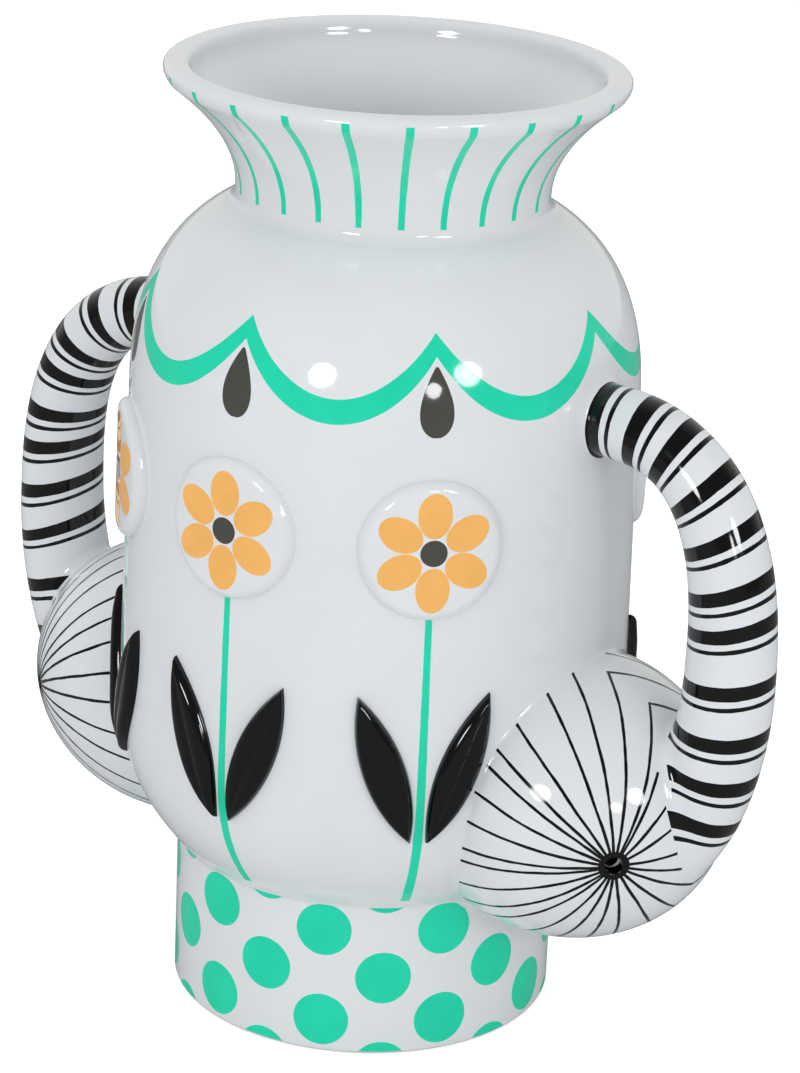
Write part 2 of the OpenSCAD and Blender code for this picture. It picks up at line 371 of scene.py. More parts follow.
def body_r(z):
    """Outer radius of the foot and body at height z."""
    z = np.asarray(z, float)
    s = np.clip((z - FOOT_H) / BELLY_H, 0, 1)
    belly = BODY_R - (BODY_R - FOOT_R) * (1 - s) ** BELLY_POWER
    w = np.clip((z - BELLY_Z) / (SHOULDER_Z - BELLY_Z), 0, 1)
    w = w * w * (3 - 2 * w)
    waist = BODY_R + (SHOULDER_R - BODY_R) * w
    t = np.clip((z - SHOULDER_Z) / SHOULDER_H, 0, 1) * SHOULDER_REACH
    shoulder = SHOULDER_R * superellipse(t, SHOULDER_POWER)
    return np.select([z < FOOT_H, z < BELLY_Z, z < SHOULDER_Z], [FOOT_R, belly, waist], shoulder)


def body_z(r):
    """Height of the shoulder's surface at radius r."""
    return SHOULDER_Z + SHOULDER_H * superellipse(r / SHOULDER_R, SHOULDER_POWER) / SHOULDER_REACH


def on_body(p):
    """Moves points square to the axis, to the outer surface of foot and body."""
    p = np.array(p, float)
    p[..., :2] *= (body_r(p[..., 2]) / np.hypot(p[..., 0], p[..., 1]))[..., None]
    return p


def body_normal(p):
    """Unit vectors that point out of the body at points on it."""
    z = p[..., 2]
    slope = (body_r(z + 0.2) - body_r(z - 0.2)) / 0.4
    r = np.hypot(p[..., 0], p[..., 1])
    return unit(np.stack([p[..., 0] / r, p[..., 1] / r, -slope], -1))


def unit(v):
    """Vectors of length 1."""
    return v / np.linalg.norm(v, axis=-1, keepdims=True)


def bezier(a, j, b, steps):
    """Points of a quadratic curve from a to b that bends at j, on a new second-last axis."""
    t = np.linspace(0, 1, steps + 1)[:, None]
    a, j, b = (np.asarray(v, float)[..., None, :] for v in (a, j, b))
    return (1 - t) ** 2 * a + 2 * t * (1 - t) * j + t**2 * b


def arc(centre, radius, a, b, steps=8):
    """Points of a circle's arc from angle a to angle b, in degrees."""
    t = np.radians(np.linspace(a, b, steps + 1))
    return np.stack([centre[0] + radius * np.cos(t), centre[1] + radius * np.sin(t)], -1)


def crossing(holds, low, high):
    """Where between low and high holds(values) turns from true to false, value by value."""
    for _ in range(30):
        middle = (low + high) / 2
        held = holds(middle)
        low, high = np.where(held, middle, low), np.where(held, high, middle)
    return high


# Way that the vent faces, radius of its black disc, whose black also runs down the vent's wall as
# painted shade, and the seam where the painted lines meet
VENT_AZ, VENT_TILT = 41.0, 5.0
VENT_DISC_R = 7.3
SEAM_Y = 5.5


def whole(*angles):
    """Painted lines that run from the pole to the joint."""
    return [(angle, 99) for angle in angles]


# Degrees of each painted line round the pole, and degrees from the pole where it ends
HANDLE_LINES = [
    *whole(-76, -57, -42, -25), (-11, 28), (5, 23), (29, 23), (46, 27), (61, 36), *whole(67)
]
RIGHT_LINES = (
    whole(-173, -166, -152, -139, -130, -115, -102, -89) + HANDLE_LINES
    + whole(81, 95, 108, 125, 138, 146, 159, 173)
)
LEFT_LINES = (
    whole(-174, -161, -145, -130, -117, -103, -90) + HANDLE_LINES
    + whole(79, 90, 102, 117, 128, 140, 155, 170)
)


def bulb_pole():
    """The right bulb's pole as seen from its centre, the way to it, and two ways square to that."""
    facing = direction(VENT_AZ, -VENT_TILT)
    pole = BULB_AXES**2 * facing / np.linalg.norm(BULB_AXES * facing)
    axis = unit(pole)
    east = unit(np.cross([0, 0, 1.0], axis))
    return pole, axis, east, np.cross(axis, east)


# ---- meshes

# Faces that meet at more degrees than this are shaded apart
SHARP = 50


def make(node, points, faces, material, mark=None):
    """A mesh that replaces a CAD node and rides on the root. Points are in mm.

    A mark is a name, a domain and values, kept in the mesh for the paint.
    """
    name = node + "_glazed"
    mesh = bpy.data.meshes.new(name)
    mesh.from_pydata((np.asarray(points) * MM).tolist(), [], faces)
    if mark:
        key, domain, values = mark
        layer = mesh.attributes.new(key, "FLOAT", domain)
        layer.data.foreach_set("value", np.asarray(values, np.float32))
    tidy(mesh)
    mesh.shade_smooth()
    mesh.set_sharp_from_angle(angle=math.radians(SHARP))
    mesh.materials.append(material)
    piece = bring_in(name, mesh)
    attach(piece, "root")
    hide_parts(node)


def tidy(mesh):
    """Joins points that lie together, and turns the faces outwards."""
    bm = bmesh.new()
    bm.from_mesh(mesh)
    bmesh.ops.remove_doubles(bm, verts=bm.verts, dist=1e-6)
    bmesh.ops.recalc_face_normals(bm, faces=bm.faces)
    bm.to_mesh(mesh)
    bm.free()


def grid_faces(rows, cols, start=0, closed=True):
    """Quads of a grid of points stored row by row."""
    faces = []
    for i in range(rows - 1):
        a, b = start + i * cols, start + (i + 1) * cols
        for k in range(cols if closed else cols - 1):
            m = (k + 1) % cols
            faces.append((a + k, a + m, b + m, b + k))
    return faces


def cap(first, count):
    """One face over a closed row of points."""
    return tuple(range(first, first + count))


def lathe(node, outside, rest, material):
    """Turns a closed profile round Z. Faces of the outside part of it get outer = 1."""
    profile = np.concatenate([outside, rest])
    count, sides = len(profile), 288
    angle = 2 * np.pi * np.arange(sides) / sides
    r, z = profile.T[..., None]
    points = np.stack([r * np.sin(angle), -r * np.cos(angle), z + 0 * angle], -1)
    faces, outer = [], []
    for i in range(count):
        j = (i + 1) % count
        if max(profile[i][0], profile[j][0]) < 1e-6:
            continue
        for k in range(sides):
            m = (k + 1) % sides
            faces.append((i * sides + k, i * sides + m, j * sides + m, j * sides + k))
            outer.append(float(i < len(outside) - 1))
    make(node, points.reshape(-1, 3), faces, material, ("outer", "FACE", outer))


# ---- glazes

# Green dots in two staggered sets: radius, steps round and up, and azimuth and height of one of each
DOT_R, DOT_STEP, DOT_RISE = 13.4, 36.0, 47.5
DOT_ROWS = ((4.4, -6.5), (-13.6, 17.25))
# Green stripes: degrees between them, azimuth of one, lower and upper end, and half widths there
STRIPE_STEP, STRIPE_AZ, STRIPE_LOW, STRIPE_TOP = 15.0, 6.9, 401.5, 456.7
STRIPE_HALF = (1.45, 1.85)
# Degrees from swag to swag and flower to flower, and beside a handle without either
SWAG_STEP, HANDLE_CLEAR = 45.0, 12.0
# Swags: lowest height, rise of the ends, half width, and how much of it the ends lose
SWAG_Z, SWAG_SAG, SWAG_HALF, SWAG_TAPER = 330.0, 30.0, 5.6, 2.6
# A drop's lower end, its height and the scale of its width
DROP_Z, DROP_H, DROP_W = 320.0, 32.0, 20.0
STEM_LOW, STEM_TOP, STEM_HALF = 84.0, 240.0, (2.3, 1.6)
# Petals: their number, distance from the middle, half length and half width, and the centre's radius
PETALS, PETAL_AT, PETAL_L, PETAL_W, CENTRE_R = 6, 17.6, 10.6, 7.9, 6.2


def foot_paint(n):
    """Green dots in staggered rows round the foot."""
    az, (_, _, z) = n.azimuth, n.xyz
    dots = []
    for turn, rise in DOT_ROWS:
        dots.append(n.hypot(n.arc(n.repeat(az, DOT_STEP, turn)), n.repeat(z, DOT_RISE, rise)))
    edge = n.add(n.sub(n.low(*dots), DOT_R), n.wobble(70, 2, 0.6))
    mask = n.mul(n.mul(n.inside(edge), n.attribute("outer")), n.inside(n.sub(1.6, z), 0.5))
    return [(mask, GREEN)]


def foot_bare(n):
    """The ring that the vase stands on is wiped free of glaze."""
    _, _, z = n.xyz
    return n.inside(n.add(n.sub(z, 0.75), n.wobble(160, 3, 0.5)), 0.25)


def collar_paint(n):
    """Narrow green stripes up the collar, to the underside of its lip."""
    az, (_, _, z) = n.azimuth, n.xyz
    p = n.size(n.arc(n.repeat(az, STRIPE_STEP, STRIPE_AZ)))
    half = n.ramp(z, 402.0, 452.0, *STRIPE_HALF, "LINEAR")
    beside = n.add(n.sub(p, half), n.wobble(90, 2, 0.35))
    edge = n.high(beside, n.beyond(z, STRIPE_LOW, STRIPE_TOP))
    return [(n.mul(n.inside(edge), n.attribute("outer")), GREEN)]


def body_paint(n):
    """Green swags with grey drops round the shoulder, and green stems under the flowers."""
    az, (_, _, z) = n.azimuth, n.xyz
    outer, wobble = n.attribute("outer"), n.wobble(60, 2, 0.5)

    # A swag hangs in each eighth of the turn
    x = n.mul(n.repeat(az, SWAG_STEP, SWAG_STEP / 2), 2 / SWAG_STEP)
    xx = n.square(x)
    hang = n.sub(z, n.add(n.mul(xx, SWAG_SAG), SWAG_Z))
    slope = n.math("SQRT", n.add(n.mul(xx, 1.6), 1.0))
    swag = n.sub(n.size(n.math("DIVIDE", hang, slope)), n.sub(SWAG_HALF, n.mul(xx, SWAG_TAPER)))

    # A drop hangs where two swags meet, but not over the handles
    p = n.size(n.arc(n.repeat(az, SWAG_STEP)))
    k = n.math("MULTIPLY", n.sub(z, DROP_Z), 1 / DROP_H, clamp=True)
    width = n.mul(n.mul(n.math("SQRT", k), n.sub(1.0, k)), DROP_W)
    near_handle = n.low(n.size(n.sub(az, 90.0)), n.size(n.add(az, 90.0)))
    at_handle = n.sub(HANDLE_CLEAR, near_handle)
    drop = n.high(n.sub(p, width), n.beyond(z, DROP_Z + 0.15, DROP_Z + DROP_H - 1.0))

    # Stems run down from the bosses to the foot
    thick = n.ramp(z, 90.0, 236.0, *STEM_HALF, "LINEAR")
    stem = n.high(n.high(n.sub(p, thick), n.beyond(z, STEM_LOW, STEM_TOP)), at_handle)

    green = n.mul(n.inside(n.add(n.low(swag, stem), wobble)), outer)
    grey = n.mul(n.inside(n.add(n.high(drop, at_handle), wobble)), outer)
    return [(green, GREEN), (grey, METAL)]


def flower_paint(n):
    """Orange petals round a grey centre, on each boss."""
    az, (_, _, z) = n.azimuth, n.xyz
    p, q = n.arc(n.repeat(az, SWAG_STEP)), n.sub(z, BOSS_Z)
    rho = n.hypot(p, q)
    psi = n.mul(n.repeat(n.angle(p, q), 360.0 / PETALS), math.pi / 180)
    u = n.mul(n.sub(n.mul(rho, n.math("COSINE", psi)), PETAL_AT), 1 / PETAL_L)
    v = n.mul(n.mul(rho, n.math("SINE", psi)), 1 / PETAL_W)
    wobble = n.wobble(70, 2, 0.6)
    petal = n.add(n.mul(n.sub(n.hypot(u, v), 1.0), 8.5), wobble)
    centre = n.add(n.sub(rho, CENTRE_R), wobble)
    return [(n.inside(petal), ORANGE), (n.inside(centre), METAL)]


def ring_paint(n):
    """Thick and thin black rings round the handles."""
    return [(n.inside(n.add(n.attribute("ink"), n.wobble(110, 3, 0.7))), BLACK)]


def star_paint(n, side, lines):
    """Fine black lines that run out over the bulb from a black disc round its pole. The disc's black
    also runs part way down the vent's wall, as painted shade that keeps the hole dark.
    """
    x, y, z = n.xyz
    x = n.mul(x, side)
    # The lines at the rear mirror those at the front from a seam a little before the middle
    pole, axis, east, north = bulb_pole()
    past_seam = n.add(y, SEAM_Y)
    rear = (-pole[1] - SEAM_Y) / (-pole[1] + SEAM_Y)
    folded = n.sub(n.sub(n.low(past_seam, 0.0), n.mul(n.high(past_seam, 0.0), rear)), SEAM_Y)
    arm = {0: n.sub(x, BULB_AT[0]), 1: folded, 2: n.sub(z, BULB_AT[2])}
    arm = n.new("ShaderNodeCombineXYZ", arm).outputs[0]
    e, up = n.dot(arm, east), n.dot(arm, north)
    turn, across = n.angle(up, e), n.hypot(e, up)
    tilt = n.angle(across, n.dot(arm, axis))

    # Each line has the zone of angles that lie nearer to it than to the next one
    stops = []
    for before, (angle, reach) in zip(lines[-1:] + lines[:-1], lines):
        start = (before[0] + angle) / 2 if stops else -180.0
        stops.append((start / 360 + 0.5, angle / 360 + 0.5, reach / 180))
    line, reach = n.zones(n.add(n.mul(turn, 1 / 360), 0.5), stops)
    off = n.sub(turn, n.mul(n.sub(line, 0.5), 360.0))
    wave = n.wobble(38, 2, 1.3)
    half = n.spread(n.noise(120, 2), 0.62, 0.82)
    beside = n.sub(n.size(n.add(n.mul(n.mul(off, math.pi / 180), across), wave)), half)
    past = n.sub(tilt, n.mul(reach, 180.0))

    # Not on the joint with the body, nor inside the bulb
    parts = [n.square(n.mul(n.sub(c, c0), 1 / r)) for c, c0, r in zip((x, y, z), BULB_AT, BULB_AXES)]
    level = n.sub(n.add(n.add(*parts[:2]), parts[2]), 1.0)
    skin = n.sub(n.mul(n.size(level), BULB_B / 2), 0.8)
    rise = n.math("SUBTRACT", BELLY_Z / BELLY_H, n.mul(z, 1 / BELLY_H), clamp=True)
    wall = n.sub(BODY_R, n.mul(n.math("POWER", rise, BELLY_POWER), BODY_R - FOOT_R))
    margin = n.add(n.add(wall, 0.8), n.mul(rise, 2.0))
    line = n.high(n.high(beside, past), n.high(skin, n.sub(margin, n.radius)))

    # The disc is measured in space from the pole, so its black also runs part way down the vent's wall.
    # That is painted shade that keeps the hole dark, beside the real black disc round the vent.
    tip = BULB_AT + pole
    away = n.hypot(n.hypot(n.sub(x, tip[0]), n.add(n.size(y), pole[1])), n.sub(z, tip[2]))
    disc_and_vent_shade = n.add(n.sub(away, VENT_DISC_R), n.mul(wave, 0.4))
    return [(n.inside(n.low(line, disc_and_vent_shade)), BLACK)]


# ---- foot, floor, body and collar

# Height of the crease between foot and body, and radii of the lip's two roundings
FILLET = 2.2
LIP_ROUND, RIM_ROUND = 3.6, 4
# Width of the collar's seat on the shoulder, and height of the curve that leaves it
SEAT_W, SEAT_H = 3.6, 3.4


def foot_and_body():
    """The foot drum, the floor and the hollow body, with a soft crease between foot and body."""
    over = FOOT_H + FILLET * 0.8
    crease = bezier((FOOT_R, FOOT_H - FILLET), (FOOT_R, FOOT_H), (body_r(over), over), 10)
    below, above = crease[crease[:, 1] <= FOOT_H], crease[crease[:, 1] > FOOT_H]
    joint = np.array([[np.interp(FOOT_H, crease[:, 1], crease[:, 0]), FOOT_H]])
    ring_in = FOOT_R - FOOT_RING_W
    in_r, spigot_r = FOOT_R - WALL, FOOT_R - WALL / 2
    foot_out = np.concatenate([
        arc((FOOT_R - FOOT_ROUND, FOOT_ROUND), FOOT_ROUND, -90, 0),
        np.stack([np.full(20, FOOT_R), np.linspace(FOOT_ROUND + 3, FOOT_H - FILLET - 3, 20)], -1),
        below, joint,
    ])
    foot_in = np.concatenate([
        [[spigot_r, FOOT_H], [spigot_r, FOOT_H + SPIGOT_H], [in_r, FOOT_H + SPIGOT_H]],
        [[in_r, RECESS_H], [ring_in, RECESS_H]],
        arc((ring_in + FOOT_ROUND, FOOT_ROUND), FOOT_ROUND, 180, 270),
    ])
    lathe("foot_drum", foot_out, foot_in, glaze("dotted_glaze", foot_paint, foot_bare))

    floor_z = RECESS_H + FLOOR_T
    floor = np.concatenate([
        [[0, RECESS_H], [in_r, RECESS_H]],
        arc((in_r - COVE_R, floor_z + COVE_R), COVE_R, 0, -90),
        [[in_r * 0.6, floor_z], [in_r * 0.3, floor_z], [0, floor_z]],
    ])
    lathe("base_floor", floor[:1], floor[1:], glaze("white_glaze"))

    z_out = np.concatenate([
        np.linspace(above[-1][1] + 1.5, BELLY_Z, 40)[:-1],
        np.linspace(BELLY_Z, SHOULDER_Z, 50)[:-1],
        SHOULDER_Z + SHOULDER_H * np.sin(np.linspace(0, np.pi / 2, 60)),
    ])
    outside = np.concatenate([joint, above, np.stack([body_r(z_out), z_out], -1)])
    s = np.linspace(1, 0, 50)
    reach = superellipse(NECK_IN_R / (SHOULDER_R - WALL), SHOULDER_POWER)
    sz = np.sin(s * np.pi / 2)
    shoulder_in = np.stack([
        (SHOULDER_R - WALL) * superellipse(reach * sz, SHOULDER_POWER),
        SHOULDER_Z + (SHOULDER_H - NECK_LAND) * sz,
    ], -1)
    low = FOOT_H + SPIGOT_H
    belly_in = np.stack([
        BODY_R - WALL - (BODY_R - FOOT_R) * (1 - s[1:]) ** BELLY_POWER,
        low + (BELLY_Z - low) * s[1:],
    ], -1)
    inside = np.concatenate([
        [[NECK_MID_R, NECK_Z], [NECK_MID_R, NECK_Z - SPIGOT_H], [NECK_IN_R, NECK_Z - SPIGOT_H]],
        shoulder_in, [[BODY_R - WALL, BELLY_Z]], belly_in,
        [[spigot_r, low], [spigot_r, FOOT_H]],
    ])
    lathe("body_shell", outside, inside, glaze("swagged_glaze", body_paint))


def collar():
    """The flared collar with its rolled lip, which runs down to a seat on the shoulder."""
    seat_r = NECK_R + SEAT_W
    seat = (seat_r, body_z(seat_r) - 0.05)

    def flare(z):
        return THROAT_R + (FLARE_R - THROAT_R) * ((z - THROAT_Z) / FLARE_H) ** 2

    z0 = NECK_Z + SEAT_H
    foot = bezier(seat, (NECK_R, NECK_Z), (flare(z0), z0), 10)
    # Outside, the flare turns up into an upright lip
    z1 = LIP_Z + 0.9
    z = np.linspace(z0, z1, 48)[1:]
    bend = bezier((flare(z1), z1), (MOUTH_R - 1.3, z1 + 1.3), (MOUTH_R - 0.4, z1 + 3.7), 8)
    ease = bezier(bend[-1], (MOUTH_R, z1 + 4.7), (MOUTH_R, RIM_Z - LIP_ROUND), 3)
    rim = arc((MOUTH_R - LIP_ROUND, RIM_Z - LIP_ROUND), LIP_ROUND, 0, 90, 10)
    outside = np.concatenate([foot, np.stack([flare(z), z], -1), bend[1:], ease[1:], rim[1:]])
    # Inside, it turns up too, and the rim rounds over it
    top = arc((MOUTH_IN_R + RIM_ROUND, RIM_Z - RIM_ROUND), RIM_ROUND, 90, 160, 10)
    band = arc((MOUTH_IN_R + 13.4, RIM_Z - 7.42), 14, 160, 174, 6)[1:]
    end_r, end_z = MOUTH_IN_R - 5.8, RIM_Z - 14.7
    step = bezier(band[-1], (MOUTH_IN_R - 1, RIM_Z - 10.1), (end_r, end_z), 10)[1:]
    zi = np.linspace(end_z, NECK_Z, 50)[1:]
    throat_in = THROAT_R - WALL
    ri = throat_in + (end_r - throat_in) * ((zi - THROAT_Z) / (end_z - THROAT_Z)) ** 2
    inside = np.concatenate([
        top, band, step, np.stack([ri, zi], -1), [[NECK_IN_R, NECK_Z - SPIGOT_H]],
        [[NECK_MID_R, NECK_Z - SPIGOT_H], [NECK_MID_R, NECK_Z], [NECK_R, NECK_Z]],
    ])
    lathe("neck_collar", outside, inside, glaze("lined_glaze", collar_paint))


# ---- handles

# The centre line runs out from the shoulder's width to its widest point, and on down into the bulb
HANDLE_REACH, HANDLE_RISE, HANDLE_POWER = 73.67, 105.5, 2.55
WIDEST_Z, HANDLE_DROP = 210.0, 118.0
TUBE_R, TUBE_GROWS = 16.8, 6.4
# Arc length at the root on the body, and length of the fillet there
ROOT_S, ROOT_FILLET = 1.2, 8.5
# Length where the search for the bulb starts, and length of the fillet there
SEARCH_S, BULB_REACH = 150.0, 6.0
# Thick and thin band of a ring, from its start
BANDS = ((0.0, 6.7), (9.6, 11.6))
# Distance to the ink where there is none, and longest step between rows
NO_INK, ROW_STEP = 9.0, 2.2
# Share of the bulb's fillet that the rings cross, at lengths down the handle
RUN_ON_S, RUN_ON = (184, 189, 205, 209), (0.1, 0.58, 0.58, 1.3)
# Start of each ring in mm down the handle, and how steeply it rises towards the right
RIGHT_RINGS = [
    (-0.4, 0.0), (18.8, 0.06), (36, 0.12), (57, 0.18), (79, 0.2), (101.5, 0.2), (119, 0.18),
    (146, 0.13), (170.5, 0.15), (191.5, 0.12), (211.3, -0.01),
]
LEFT_RINGS = [
    (-3, 0.0), (16, 0.05), (36.5, 0.1), (58.5, 0.13), (75.5, 0.13), (98.5, 0.15), (116, 0.26),
    (138.5, 0.31), (161.3, 0.35), (190.8, 0.06), (215, 0.0),
]


def handle_line():
    """Arc lengths, points and tube radii along the handle's centre line."""
    u = np.linspace(0, 1.6, 16001)
    a = np.pi / 2 * np.minimum(u, 1)
    b = np.pi / 2 * np.maximum(u - 1, 0)
    power = 2 / HANDLE_POWER
    x = SHOULDER_R + HANDLE_REACH * np.where(u <= 1, np.sin(a) ** power, np.cos(b))
    rise = HANDLE_RISE * np.maximum(np.cos(a), 0) ** power
    z = WIDEST_Z + np.where(u <= 1, rise, -HANDLE_DROP * np.sin(b))
    s = np.concatenate([[0], np.cumsum(np.hypot(np.diff(x), np.diff(z)))])
    return s, x, z, TUBE_R + TUBE_GROWS * np.clip((u - 0.3) / 1.1, 0, 1)


LINE_S, LINE_X, LINE_Z, LINE_R = handle_line()


def line_at(s):
    """Points, directions and tube radii of the centre line at arc lengths s."""
    x, z, r = (np.interp(s, LINE_S, a) for a in (LINE_X, LINE_Z, LINE_R))
    half = 0.6
    at = np.clip(s, half, LINE_S[-1] - half)
    dx, dz = (
        np.interp(at + half, LINE_S, a) - np.interp(at - half, LINE_S, a) for a in (LINE_X, LINE_Z)
    )
    flat = np.zeros_like(x)
    return np.stack([x, flat, z], -1), unit(np.stack([dx, flat, dz], -1)), r


def tube_points(s, v):
    """Points, and their normals, on the tube at arc lengths s and angles v round it."""
    centre, along, r = line_at(s)
    side = np.stack([-along[..., 2], along[..., 1], along[..., 0]], -1)
    out = np.cos(v)[..., None] * side + np.sin(v)[..., None] * np.array([0.0, 1.0, 0.0])
    return centre + r[..., None] * out, out


def line_near(p):
    """Arc lengths of the centre line nearest to points p."""
    x, z, s = LINE_X[::20], LINE_Z[::20], LINE_S[::20]
    s = s[np.argmin((p[..., 0, None] - x) ** 2 + (p[..., 2, None] - z) ** 2, -1)]
    for _ in range(2):
        centre, along, _ = line_at(s)
        s = s + np.sum((p - centre) * along, -1)
    return s


class Rings:
    """The painted rings of one handle. A ring's level is its arc length, and rings may lean."""

    def __init__(self, rings, side):
        self.starts = np.array([start for start, _ in rings], float)
        self.leans = np.array([lean for _, lean in rings])
        # Way in which a ring rises, the camera's right
        self.across = np.array([side * 0.83, 0.56, 0.0])
        self.bands = [(start + a, start + b) for start in self.starts for a, b in BANDS]

    def lean(self, level):
        """How steeply the ring at a level rises."""
        return np.interp(level, self.starts, self.leans)

    def ink(self, level):
        """Distance in mm to the nearest band, negative inside it."""
        return np.min([np.abs(level - (a + b) / 2) - (b - a) / 2 for a, b in self.bands], 0)

    def marks(self):
        """Levels at the edges and middles of the bands, and at the middles of the gaps."""
        edges = [x for a, b in self.bands for x in (a, (a + b) / 2, b)]
        return edges + [(a[1] + b[0]) / 2 for a, b in zip(self.bands, self.bands[1:])]

    def row(self, level, v):
        """Arc length at each angle v where the ring at this level passes."""
        s = np.full(v.shape, float(level))
        for _ in range(4):
            _, out = tube_points(s, v)
            s = level - self.lean(level) * line_at(s)[2] * (out @ self.across)
        return s

    def level(self, p):
        """Level of the ring that passes through points on or near the tube."""
        s = line_near(p)
        reach = (p - line_at(s)[0]) @ self.across
        level = s
        for _ in range(4):
            level = s + self.lean(level) * reach
        return level


def ellipsoid(p):
    """Less than 0 inside the bulb's ellipsoid."""
    return np.linalg.norm((p - BULB_AT) / BULB_AXES, axis=-1) - 1


def bulb_normal(p):
    """Unit vectors that point out of the bulb at points on it."""
    return unit((p - BULB_AT) / BULB_AXES**2)


def on_bulb(p):
    """Moves points to the bulb's surface, in line with its centre."""
    size = np.linalg.norm((p - BULB_AT) / BULB_AXES, axis=-1, keepdims=True)
    return BULB_AT + (p - BULB_AT) / size


def handle(side, rings, material):
    """A handle, right for side 1 and left for side -1, with its fillets on the body and the bulb."""
    name = "right_handle" if side > 0 else "left_handle"
    rings = Rings(rings, side)
    sides = 96
    v = 2 * np.pi * np.arange(sides) / sides
    end = LINE_S[-1] - 0.7

    # The tube, with a row of points at each edge of the rings
    marks = sorted({ROOT_S, end, *(x for x in rings.marks() if ROOT_S < x < end)})
    levels = [marks[0]]
    for a, b in zip(marks, marks[1:]):
        parts = max(1, int(round((b - a) / ROW_STEP)))
        levels += [a + (b - a) * (i + 1) / parts for i in range(parts)]
    levels = np.array(levels)
    tube = np.array([tube_points(np.clip(rings.row(level, v), 0, end), v)[0] for level in levels])

    # Fillet from the body's surface to the tube's first row
    def onto_body(p):
        p[:, 0] = np.sqrt(body_r(p[:, 2]) ** 2 - p[:, 1] ** 2)
        return p

    rows = 14
    corner = onto_body(tube[0].copy())
    seat = onto_body(corner + ROOT_FILLET * np.stack([np.zeros(sides), np.sin(v), np.cos(v)], -1))
    fillet = bezier(tube[0], corner, seat, rows)
    run = np.zeros((sides, rows + 1))
    run[:, 1:] = np.cumsum(np.linalg.norm(np.diff(fillet, axis=1), axis=-1), 1)
    sunk = seat - SUNK * body_normal(seat)
    grid = np.concatenate([sunk[None], fillet.transpose(1, 0, 2)[:0:-1], tube])
    ink = np.concatenate([
        np.full((1, sides), NO_INK), rings.ink(ROOT_S - run.T[:0:-1]),
        np.repeat(rings.ink(levels)[:, None], sides, 1),
    ])
    points, inks = [grid.reshape(-1, 3)], [ink.reshape(-1)]
    faces = grid_faces(len(grid), sides)
    faces += [cap(0, sides), cap((len(grid) - 1) * sides, sides)]

    # Fillet where the tube runs into the bulb
    fine, steps = 360, 14
    v = 2 * np.pi * np.arange(fine) / fine

    def clear(s):
        return ellipsoid(tube_points(s, v)[0]) > 0

    last = np.full(fine, SEARCH_S)
    for station in np.arange(SEARCH_S, end, 1.0):
        last = np.where(clear(np.full(fine, station)), station, last)
    hit = crossing(clear, last, np.minimum(last + 1.0, end))
    meet, tube_n = tube_points(hit, v)
    bulb_n = bulb_normal(meet)
    along = unit(np.roll(meet, -1, 0) - np.roll(meet, 1, 0))
    up, away = np.cross(along, tube_n), np.cross(along, bulb_n)
    up = unit(up * np.sign(np.sum(up * bulb_n, -1))[:, None])
    away = unit(away * np.sign(np.sum(away * tube_n, -1))[:, None])
    turn = 1 - np.sum(tube_n * bulb_n, -1)
    size = (BULB_REACH * np.clip(turn / 0.12, 0.25, 1))[:, None]
    upper = meet + size * up
    near, _, r = line_at(line_near(upper))
    upper = near + r[:, None] * unit(upper - near)
    strip = bezier(upper, meet, on_bulb(meet + size * away), steps)
    # The strip's middle lies a little proud
    t = np.linspace(0, 1, steps + 1)
    lift = 0.16 * np.sqrt(np.abs(np.sin(np.pi * t))) - 0.04
    strip = (strip + lift[:, None] * unit(tube_n + bulb_n)[:, None]).transpose(1, 0, 2)
    cut = np.interp(hit, RUN_ON_S, RUN_ON)
    strip_ink = np.maximum(rings.ink(rings.level(strip)), (t[:, None] - cut) * 12)
    under = (meet - 1.5 * unit(tube_n + bulb_n))[None]
    points.append(np.concatenate([strip, under, strip[:1]]).reshape(-1, 3))
    inks.append(np.concatenate([strip_ink, np.full((1, fine), NO_INK), strip_ink[:1]]).reshape(-1))
    faces += grid_faces(steps + 3, fine, len(grid) * sides)

    points = np.concatenate(points)
    points[:, 0] *= side
    make(name, points, faces, material, ("ink", "POINT", np.concatenate(inks)))


# ---- bulbs

# Length and rows of the fillet on the body, rows outside and inside, and degrees between columns
BULB_FILLET, FILLET_ROWS = 3.0, 8
OUTER_ROWS, INNER_ROWS, COLUMN_STEP = 66, 24, 2.0
# Start of the outer and inner surface, in vent radii, or in radians where there is no vent
VENT_EDGE, VENT_EDGE_IN, POLE_EDGE = 1.22, 1.1, 0.004


